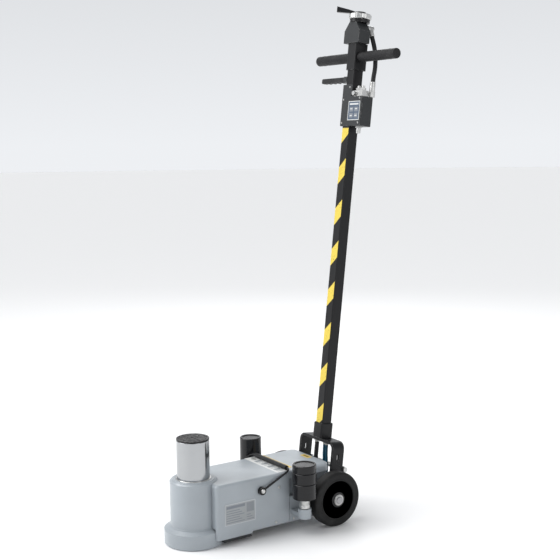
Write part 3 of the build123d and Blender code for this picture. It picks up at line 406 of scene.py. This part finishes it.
def route_mesh(name, points, radius, look, rings=8):
    """Round tube along a smooth line that follows the points; also gives its centre line and length."""
    curve = bpy.data.curves.new(name + "_line", "CURVE")
    curve.dimensions = "3D"
    spline = curve.splines.new("NURBS")
    spline.points.add(len(points) - 1)
    for target, point in zip(spline.points, points):
        target.co = (*point, 1.0)
    spline.order_u = 3
    spline.use_endpoint_u = True
    spline.resolution_u = rings
    holder = bpy.data.objects.new(name + "_line", curve)
    scene.collection.objects.link(holder)
    bare = bpy.data.meshes.new_from_object(holder.evaluated_get(bpy.context.evaluated_depsgraph_get()))
    centres = [vertex.co.copy() for vertex in bare.vertices]
    bpy.data.objects.remove(holder)
    steps = 24
    rows = []
    normal = side_axes((centres[1] - centres[0]).normalized())[0]
    for index, centre in enumerate(centres):
        before, after = centres[max(index - 1, 0)], centres[min(index + 1, len(centres) - 1)]
        direction = (after - before).normalized()
        normal = (normal - normal.dot(direction) * direction).normalized()
        other = direction.cross(normal)
        for step in range(steps):
            turn = 2 * pi * step / steps
            rows.append(centre + radius * MM * (cos(turn) * normal + sin(turn) * other))
    length = sum((b - a).length for a, b in zip(centres, centres[1:]))
    tube = piece(name, rows, tube_faces(len(centres), steps), look, None, 40.0)
    return tube, centres, length


# ------------------------------------------------------------------ hoses

air_points = [on_handle(*p) for p in (
    (20, 26, 1234), (31, 27, 1211), (41.5, 27.5, 1187), (48, 27, 1162),
    (52.5, 25, 1136), (58, 17.2, 1111), (58, 17.2, 1088))]
air_hose, air_path, air_length = route_mesh("air_hose_soft", air_points, 6.0, looks["rubber"])
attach(air_hose, "handle")
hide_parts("air_hose")


def lower_hose(name, node, x_top, x_low, low, radius, look):
    """Hose from the underside of the yoke to the frame's rear plate."""
    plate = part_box(node)[0].y
    middle = x_top + 0.7 * (x_low - x_top)
    points = [
        on_handle(x_top, 0, 121), on_handle(x_top, 0, 94),
        Vector((middle, 403.5, 144)) * MM, Vector((x_low, 403, 116)) * MM,
        Vector((x_low, 399, low + 33)) * MM, Vector((x_low, 389, low + 12)) * MM,
        Vector((x_low * MM, plate, low * MM)),
    ]
    hose, path, length = route_mesh(name, points, radius, look, 14)
    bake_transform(hose)
    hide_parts(node)


lower_hose("teal_hose_inner", "blue_hose_one", 13, 16, 57, 4.0, looks["blue_hose"])
lower_hose("teal_hose_outer", "blue_hose_two", 23, 28, 54, 4.0, looks["blue_hose"])
lower_hose("conduit_soft", "control_conduit", -21, -24, 56, 6.0, looks["rubber"])

spring = bpy.data.objects.new("return_spring_soft", nodes["return_spring"].data.copy())
scene.collection.objects.link(spring)
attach(spring, "chassis")
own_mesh(spring)
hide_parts("return_spring")

# ------------------------------------------------------------------ labels

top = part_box("housing_shell")[1].z
X, Y, Z = Vector((1, 0, 0)), Vector((0, 1, 0)), Vector((0, 0, 1))


def label_on_top(name, x0, x1, y0, y1, look, lift=0.0):
    return slab(name, (x0 * MM, y0 * MM, top + lift * MM), X, Y, (x1 - x0, y1 - y0), 0.25, look,
                "chassis")


label_on_top("caution_strip", -80, 78, 205, 240, PRINT_WHITE)
for column in range(4):
    left = -44 + 30 * column
    label_on_top(f"caution_panel_{column}", left, left + 11, 213, 232, PRINT_SLATE, 0.2)
    for row in range(4):
        label_on_top(f"caution_line_{column}_{row}", left + 13, left + 25 - 3 * (row % 2),
                     214 + 5 * row, 215.4 + 5 * row, PRINT_SLATE, 0.2)
label_on_top("warning_strip", -76, 60, 255, 265, PRINT_YELLOW)
for row in range(2):
    label_on_top(f"warning_line_{row}", -70, 54 - 16 * row, 257.4 + 3.6 * row, 258.8 + 3.6 * row,
                 PRINT_BLACK, 0.2)
label_on_top("small_warning", -18, 17, 346, 361, PRINT_YELLOW)
label_on_top("small_warning_mark", -12, 11, 351, 356, PRINT_BLACK, 0.2)

plate_low, plate_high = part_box("data_plate")


def plate_mark(name, y0, y1, z0, z1, look, lift=0.0):
    face = plate_high.x + lift * MM
    return slab(name, (face, plate_low.y + y0 * MM, plate_low.z + z0 * MM), Y, Z,
                (y1 - y0, z1 - z0), 0.15, look, "chassis")


plate_mark("plate_ground", 2, 90, 2, 53, PRINT_SILVER)
plate_mark("plate_header", 5, 60, 43, 50, PRINT_GREY, 0.12)
plate_mark("plate_side_block", 65, 87, 26, 50, PRINT_SLATE, 0.12)
for row in range(6):
    height = 6 + 6 * row
    plate_mark(f"plate_line_{row}", 5, 58 - 7 * (row % 3), height, height + 1.6, PRINT_GREY, 0.12)
for row in range(3):
    plate_mark(f"plate_value_{row}", 65, 87 - 5 * row, 6 + 6 * row, 7.6 + 6 * row, PRINT_GREY, 0.12)


def box_label(name, x0, x1, h0, h1, look, lift=0.0):
    corner = on_handle(x0, cover_face - lift, h0)
    return slab(name, corner, X, along, (x1 - x0, h1 - h0), 0.2, look, "handle")


box_label("box_label_border", 8, 57, 995, 1046, PRINT_WHITE)
box_label("box_label_field", 10, 55, 997, 1044, PRINT_BLUE, 0.15)
box_label("box_label_head", 14, 51, 1036, 1040, PRINT_WHITE, 0.3)
for column in range(2):
    for row in range(2):
        left, low = 15 + 20 * column, 1002 + 16 * row
        box_label(f"box_picture_{column}_{row}", left, left + 15, low, low + 12, PRINT_GREY, 0.3)
        box_label(f"box_picture_bar_{column}_{row}", left + 3, left + 12, low + 4 + 2 * row,
                  low + 6.5 + 2 * row, PRINT_WHITE, 0.45)

# ------------------------------------------------------------------ fasteners and trims


def socket_screw(name, centre, axis, radius, height, body):
    """Button head with a hollow socket."""
    recess = 0.45 * radius
    profile = [(radius, 0), (radius, 0.35 * height), (0.86 * radius, 0.75 * height),
               (0.62 * radius, height), (recess, height), (recess, 0.45 * height)]
    return lathe(name, centre, axis, profile, looks["zinc"], body, 36)


for side in (1, -1):
    for index, (y, z) in enumerate(((195, 32), (206, 124), (251, 31))):
        socket_screw(f"side_screw_{index}_{'r' if side > 0 else 'l'}",
                     (side * shell_side * MM, y * MM, z * MM), (side, 0, 0), 3.6, 2.4, "chassis")

for label in ("right", "left"):
    tyre_low, tyre_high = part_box("tyre_" + label)
    centre = Vector(((tyre_low.x + tyre_high.x) / 2, axle.y, axle.z))
    half = (tyre_high.x - tyre_low.x) / 2 / MM
    bead = [(52, half - 1.5), (52, half + 0.2), (53.2, half + 0.7), (54.4, half + 0.2),
            (54.4, half - 1.5)]
    for face, tag in ((1, "out"), (-1, "in")):
        lathe(f"tyre_bead_{label}_{tag}", centre, (face, 0, 0), bead, looks["tyre"],
              "wheel_" + label, 96)

rib_count, first_rib, rib_pitch = 12, 30, 8
for sign, tag in ((1, "right"), (-1, "left")):
    lathe(f"grip_end_{tag}", on_handle(sign * 139.5, 0, bar_height), (sign, 0, 0),
          [(13.45, 0), (13.9, 0.4), (13.9, 1.6), (13.45, 2.0)], looks["black_plastic"], "handle",
          48)
    for ring in range(rib_count):
        rib_place = on_handle(sign * (first_rib + rib_pitch * ring), 0, bar_height)
        lathe(f"grip_rib_{tag}_{ring}", rib_place, (sign, 0, 0),
              [(13.4, 0), (13.75, 0.6), (13.75, 2.2), (13.4, 2.8)], looks["rubber"], "handle", 48)

for name, centre, axis in (
    ("hose_ferrule_top", air_path[0], (air_path[1] - air_path[0])),
    ("hose_ferrule_low", air_path[-1], (air_path[-2] - air_path[-1])),
):
    lathe(name, centre, axis,
          [(6.05, 0), (7.6, 0.2), (7.6, 3), (7.0, 3.6), (7.6, 4.2), (7.6, 7), (7.0, 7.6), (7.6, 8.2),
           (7.6, 11), (6.8, 12), (6.05, 12.2)], looks["zinc"], "handle", 40)

for sign, body in ((1, "right_low_adapter"), (-1, "left_adapter")):
    low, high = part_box("adapter_right_low" if sign > 0 else "adapter_left")
    collar = ((low.x + high.x) / 2, (low.y + high.y) / 2, 0.0)
    lathe(f"spigot_sleeve_{body}", collar, (0, 0, 1),
          [(13.1, 70.4), (14.0, 71.2), (14.0, 80.0), (13.7, 80.6), (14.0, 81.2), (14.0, 96.9), (13.1, 96.95)],
          looks["zinc"], body, 64)

gland_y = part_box("rear_frame")[0].y + 135 * MM
for tag, x, low, radius in (("inner", 16, 57, 4.0), ("outer", 28, 54, 4.0), ("conduit", -24, 56, 6.0)):
    lathe(f"plate_gland_{tag}", (x * MM, gland_y, low * MM), (0, 1, 0.35),
          [(radius + 0.2, -1), (radius + 3.2, -1), (radius + 3.2, 3), (radius + 2.0, 4), (radius + 2.0, 8),
           (radius + 0.2, 8.4)], looks["zinc"], "chassis", 6 if tag != "conduit" else 40, 25.0)
for tag, x, radius in (("inner", 13, 4.0), ("outer", 23, 4.0), ("conduit", -21, 6.0)):
    lathe(f"yoke_gland_{tag}", on_handle(x, 0, 120.9), -along,
          [(radius + 0.2, 0), (radius + 1.6, 0), (radius + 1.6, 5), (radius + 0.9, 6), (radius + 0.9, 9),
           (radius + 0.2, 9.4)], looks["zinc"], "handle", 40)


def knurled_ring(name, centre, axis, radius, depth, count, low, high, look, body):
    """Ring with vertical finger grooves around it."""
    steps = count * 6
    inner = radius - 1.2
    profile = [(inner, low - 0.2), (radius, low + 0.8), (radius, high - 0.8), (inner, high + 0.2)]
    ring = lathe(name, centre, axis, profile, look, body, steps)
    direction = Vector(axis).normalized()
    for index, vertex in enumerate(ring.data.vertices):
        if steps <= index < 3 * steps:
            offset = vertex.co - Vector(centre)
            spoke = (offset - offset.dot(direction) * direction).normalized()
            vertex.co -= spoke * depth * MM * (0.5 - 0.5 * cos(2 * pi * (index % steps) / 6))
    return ring


knurled_ring("knob_ring", on_handle(0, 0, 0), along, 30.6, 0.5, 30, 1268.6, 1280.0, looks["zinc"],
             "release_control")
for index in range(3):
    turn = radians(30 + 120 * index)
    socket_screw(f"valve_screw_{index}", on_handle(20 * cos(turn), 20 * sin(turn), 1281.0), along, 2.6, 2.0,
                 "release_control")
for index, (x, height) in enumerate(((-15, 988), (-15, 1051), (54, 988), (54, 1054), (8, 1084))):
    socket_screw(f"cover_screw_{index}", on_handle(x, cover_face, height), -rear, 2.6, 1.8, "handle")


def weld_bead(name, radius, height, start, stop, body, look):
    """Rippled weld fillet around the ram's axis, between two angles in degrees."""
    steps, around = 220, 10
    rows = []
    for step in range(steps + 1):
        turn = radians(start + (stop - start) * step / steps)
        swell = 1.9 + 0.22 * sin(step * 1.9)
        for corner in range(around):
            spin = 2 * pi * corner / around
            distance = radius + swell * cos(spin)
            rise = height + swell * sin(spin)
            rows.append(MM * Vector((distance * cos(turn), distance * sin(turn), rise)))
    faces = tube_faces(steps + 1, around, capped=False)
    return piece(name, rows, faces, look, body, 60.0)


weld_bead("foot_weld", 61.0, 46.9, 165, 375, "chassis", looks["grey_paint"])

# ------------------------------------------------------------------ studio

floor_kit = Nodes("studio_floor")
floor_kit.shader.inputs["Base Color"].default_value = rgba(0.93, 0.93, 0.93)
floor_kit.shader.inputs["Roughness"].default_value = 0.7
floor_look = floor_kit.material
floor_mesh = bpy.data.meshes.new("studio_floor")
reach, corners, sink = 40.0, 96, 0.0002
turns = [2 * pi * corner / corners for corner in range(corners)]
floor_rows = [(reach * cos(turn), reach * sin(turn), -sink) for turn in turns]
floor_mesh.from_pydata(floor_rows, [], [tuple(range(corners))])
floor_mesh.materials.append(floor_look)
studio_floor = bpy.data.objects.new("studio_floor", floor_mesh)
scene.collection.objects.link(studio_floor)


def soft_light(name, place, target, size, power):
    """Rectangular lamp aimed at a point."""
    data = bpy.data.lights.new(name, "AREA")
    data.shape = "RECTANGLE"
    data.size, data.size_y = size
    data.energy = power
    lamp = bpy.data.objects.new(name, data)
    lamp.location = place
    lamp.rotation_euler = (Vector(target) - Vector(place)).to_track_quat("-Z", "Y").to_euler()
    scene.collection.objects.link(lamp)


middle = (0.0, 0.25, 0.6)
soft_light("key", (-1.6, -2.8, 2.6), middle, (2.0, 2.0), 60)
soft_light("fill", (3.2, 0.4, 1.6), middle, (1.6, 2.4), 16)
soft_light("rim", (-2.4, 2.2, 2.6), middle, (1.6, 2.4), 30)
sky_lamp_data = bpy.data.lights.new("overhead", "SUN")
sky_lamp_data.energy = 1.7
sky_lamp_data.angle = radians(50)
sky_lamp = bpy.data.objects.new("overhead", sky_lamp_data)
sky_lamp.rotation_euler = Vector((0.35, 0.45, -1.0)).to_track_quat("-Z", "Y").to_euler()
scene.collection.objects.link(sky_lamp)
world = bpy.data.worlds.new("studio")
world.use_nodes = True
world.node_tree.nodes["Background"].inputs["Color"].default_value = rgba(0.95, 0.97, 1.0)
air = world.node_tree.nodes.new("ShaderNodeTexCoord").outputs["Generated"]
height_split = world.node_tree.nodes.new("ShaderNodeSeparateXYZ")
fade = world.node_tree.nodes.new("ShaderNodeMapRange")
for socket, value in (("From Min", 0.0), ("From Max", 0.55), ("To Min", 0.90), ("To Max", 0.42)):
    fade.inputs[socket].default_value = value
world.node_tree.links.new(air, height_split.inputs[0])
world.node_tree.links.new(height_split.outputs["Z"], fade.inputs["Value"])
world_sky = world.node_tree.nodes["Background"]
world.node_tree.links.new(fade.outputs["Result"], world_sky.inputs["Strength"])
scene.world = world
scene.view_settings.view_transform = "Standard"
